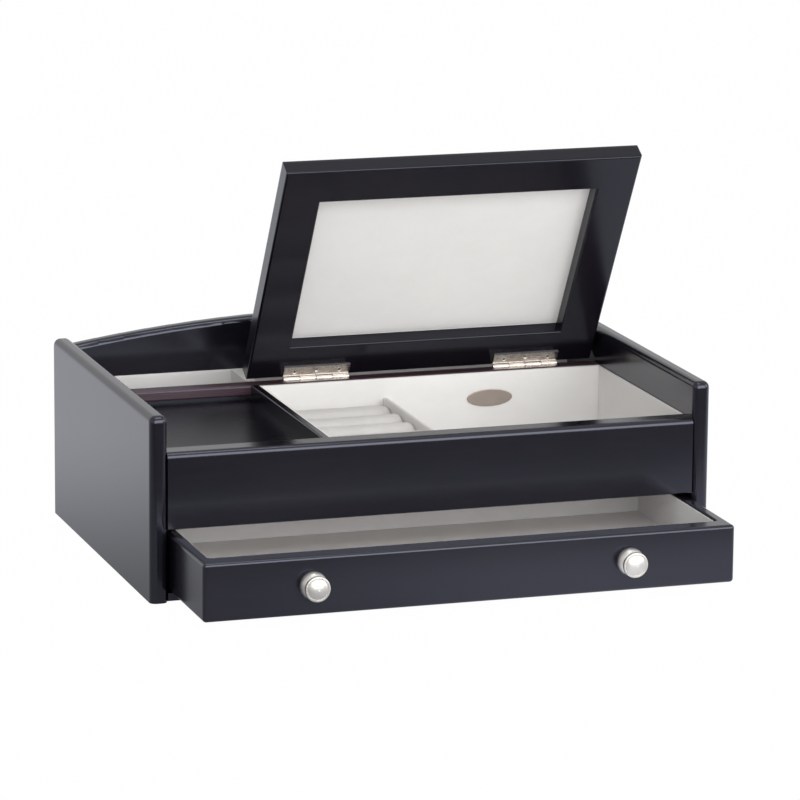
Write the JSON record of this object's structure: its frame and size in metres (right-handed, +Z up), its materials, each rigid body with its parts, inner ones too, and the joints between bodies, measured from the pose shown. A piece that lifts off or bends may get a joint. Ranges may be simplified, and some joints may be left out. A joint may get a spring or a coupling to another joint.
{
  "type": "valet jewelry box",
  "caption": "Lacquered valet jewelry box: open coin tray, lined compartment with ring rolls under a hinged lid, rear pockets behind an arched back, and a lined drawer.",
  "frame": {"origin": "middle of the case's footprint, on its underside", "axes": "+Z up, +X to the right seen from the front, the front and the drawer face -Y"},
  "size_m": [0.305, 0.2759, 0.2103],
  "materials": {
    "lacquered_wood": "near-black espresso lacquer, semi-gloss",
    "bare_board": "plain unlacquered board inside the case",
    "dark_leatherette": "smooth near-black synthetic leather",
    "ivory_lining": "ivory velveteen on thin board",
    "ring_roll_velvet": "ivory velveteen over foam",
    "satin_nickel": "satin nickel",
    "plate_metal": "satin metal, blank",
    "base_felt": "black felt pad"
  },
  "bodies": {
    "case": {"left_side_panel": "lacquered_wood", "right_side_panel": "lacquered_wood", "back_panel": "lacquered_wood", "front_panel": "lacquered_wood", "bottom_panel": "lacquered_wood", "hinge_rail": "lacquered_wood", "compartment_divider": "lacquered_wood", "rear_wall_board": "lacquered_wood", "compartment_deck": "bare_board", "coin_tray_board": "bare_board", "coin_tray_cleats": "bare_board", "drawer_stops": "bare_board", "coin_tray_floor_lining": "dark_leatherette", "compartment_floor_lining": "ivory_lining", "compartment_front_lining": "ivory_lining", "compartment_back_lining": "ivory_lining", "compartment_left_lining": "ivory_lining", "compartment_right_lining": "ivory_lining", "pocket_floor_lining": "ivory_lining", "pocket_front_lining": "ivory_lining", "pocket_back_lining": "ivory_lining", "pocket_partition_lining": "ivory_lining", "ring_divider": "ivory_lining", "pocket_partition": "ivory_lining", "ring_roll_1": "ring_roll_velvet", "ring_roll_2": "ring_roll_velvet", "ring_roll_3": "ring_roll_velvet", "ring_roll_4": "ring_roll_velvet", "ring_roll_5": "ring_roll_velvet", "ring_roll_6": "ring_roll_velvet", "left_hinge_case_leaf": "satin_nickel", "right_hinge_case_leaf": "satin_nickel", "hinge_pins": "satin_nickel", "case_hinge_screws": "satin_nickel", "blank_plate": "plate_metal", "base_felt": "base_felt"},
    "lid": {"lid_front_rail": "lacquered_wood", "lid_right_stile": "lacquered_wood", "lid_rear_rail": "lacquered_wood", "lid_left_stile": "lacquered_wood", "lid_top_board": "lacquered_wood", "lid_lining": "ivory_lining", "left_hinge_lid_leaf": "satin_nickel", "right_hinge_lid_leaf": "satin_nickel", "lid_hinge_screws": "satin_nickel"},
    "drawer": {"drawer_front": "lacquered_wood", "drawer_left_side": "lacquered_wood", "drawer_right_side": "lacquered_wood", "drawer_back": "lacquered_wood", "drawer_bottom": "bare_board", "drawer_floor_lining": "ivory_lining", "drawer_front_lining": "ivory_lining", "drawer_back_lining": "ivory_lining", "drawer_side_linings": "ivory_lining", "drawer_left_knob": "satin_nickel", "drawer_right_knob": "satin_nickel", "knob_bolts": "satin_nickel"}
  },
  "joints": [
    {"name": "lid_hinge", "type": "hinge", "parent": "case", "child": "lid", "pos_m": [0.04224, 0.0493, 0.0784], "axis": [-1, 0, 0], "range_deg": [-59.93, 35.5]},
    {"name": "drawer_slide", "type": "slide", "parent": "case", "child": "drawer", "axis": [0, -1, 0], "range_m": [-0.063, 0.042]}
  ]
}
